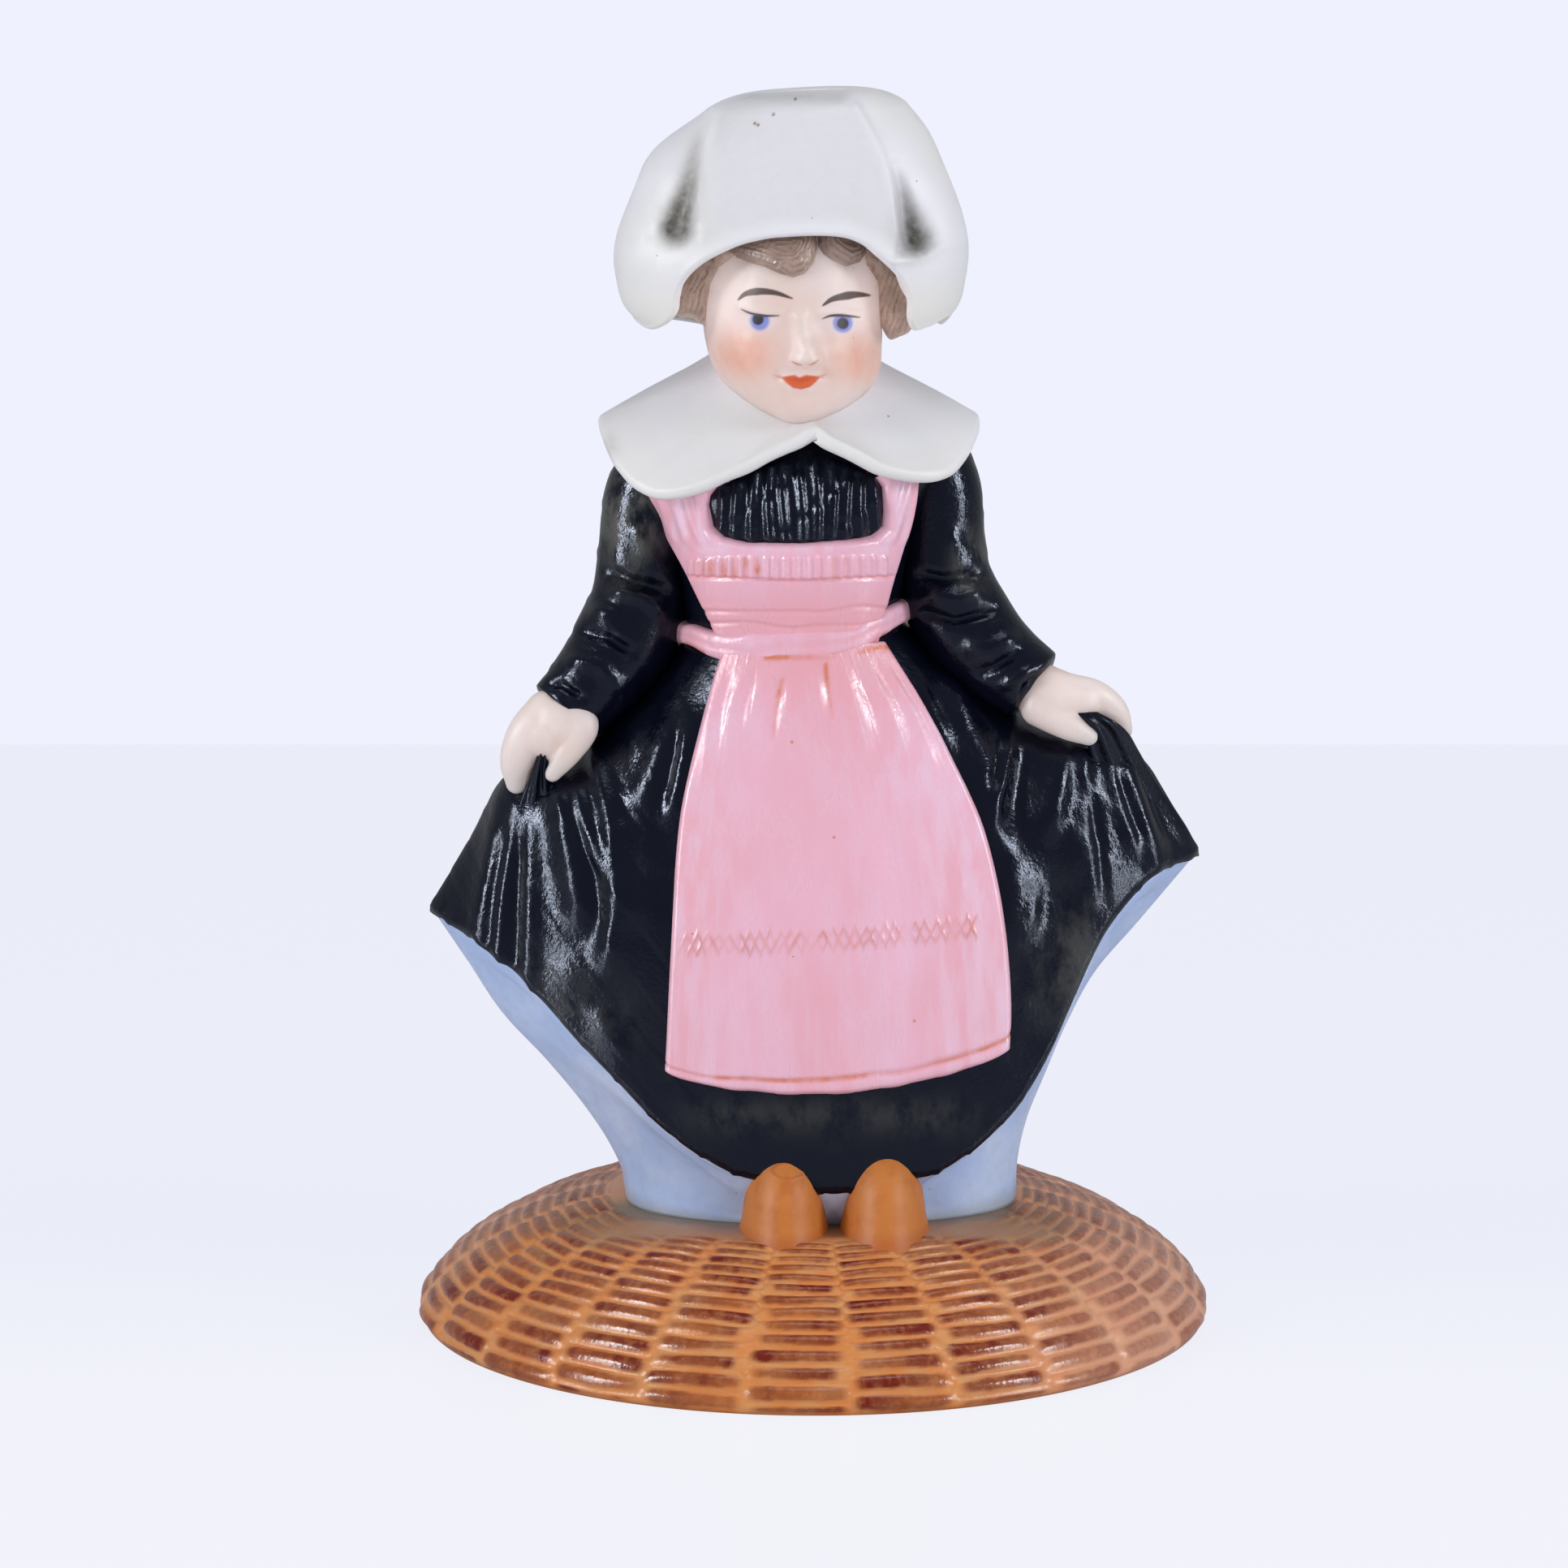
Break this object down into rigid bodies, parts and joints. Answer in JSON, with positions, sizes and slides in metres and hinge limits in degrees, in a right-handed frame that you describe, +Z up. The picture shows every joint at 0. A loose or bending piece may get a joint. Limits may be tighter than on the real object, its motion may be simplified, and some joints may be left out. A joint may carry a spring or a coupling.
{
  "type": "ceramic figurine",
  "caption": "Painted bisque figurine of a girl in bonnet, cape collar and apron holding out her skirt, standing on a round domed base moulded as basket weave.",
  "frame": {"origin": "centre of the base's foot ring, on the surface it stands on", "axes": "+Z up, the figure faces -Y, +X to the right of the picture, which is the girl's own left"},
  "size_m": [0.0968, 0.0968, 0.1497],
  "materials": {
    "basket_ochre": "ochre-brown painted bisque, satin glaze",
    "petticoat_blue": "pale blue painted bisque, satin",
    "dress_black": "black painted bisque, semi-gloss",
    "apron_pink": "pink painted bisque, satin",
    "bisque_white": "unpainted white bisque, matt",
    "bisque_skin": "flesh painted bisque, matt",
    "hair_brown": "brown painted bisque, satin",
    "clog_ochre": "ochre painted bisque, satin glaze"
  },
  "bodies": {
    "root": {"wicker_base": "basket_ochre", "petticoat": "petticoat_blue", "right_clog": "clog_ochre", "left_clog": "clog_ochre", "overskirt": "dress_black", "apron_skirt": "apron_pink", "apron_waistband": "apron_pink", "apron_bib": "apron_pink", "right_apron_strap": "apron_pink", "left_apron_strap": "apron_pink", "bodice": "dress_black", "right_sleeve": "dress_black", "left_sleeve": "dress_black", "right_hand": "bisque_skin", "left_hand": "bisque_skin", "collar": "bisque_white", "head": "bisque_skin", "hair_fringe": "hair_brown", "right_side_curls": "hair_brown", "left_side_curls": "hair_brown", "bonnet_crown": "bisque_white", "right_bonnet_wing": "bisque_white", "left_bonnet_wing": "bisque_white"}
  },
  "joints": []
}
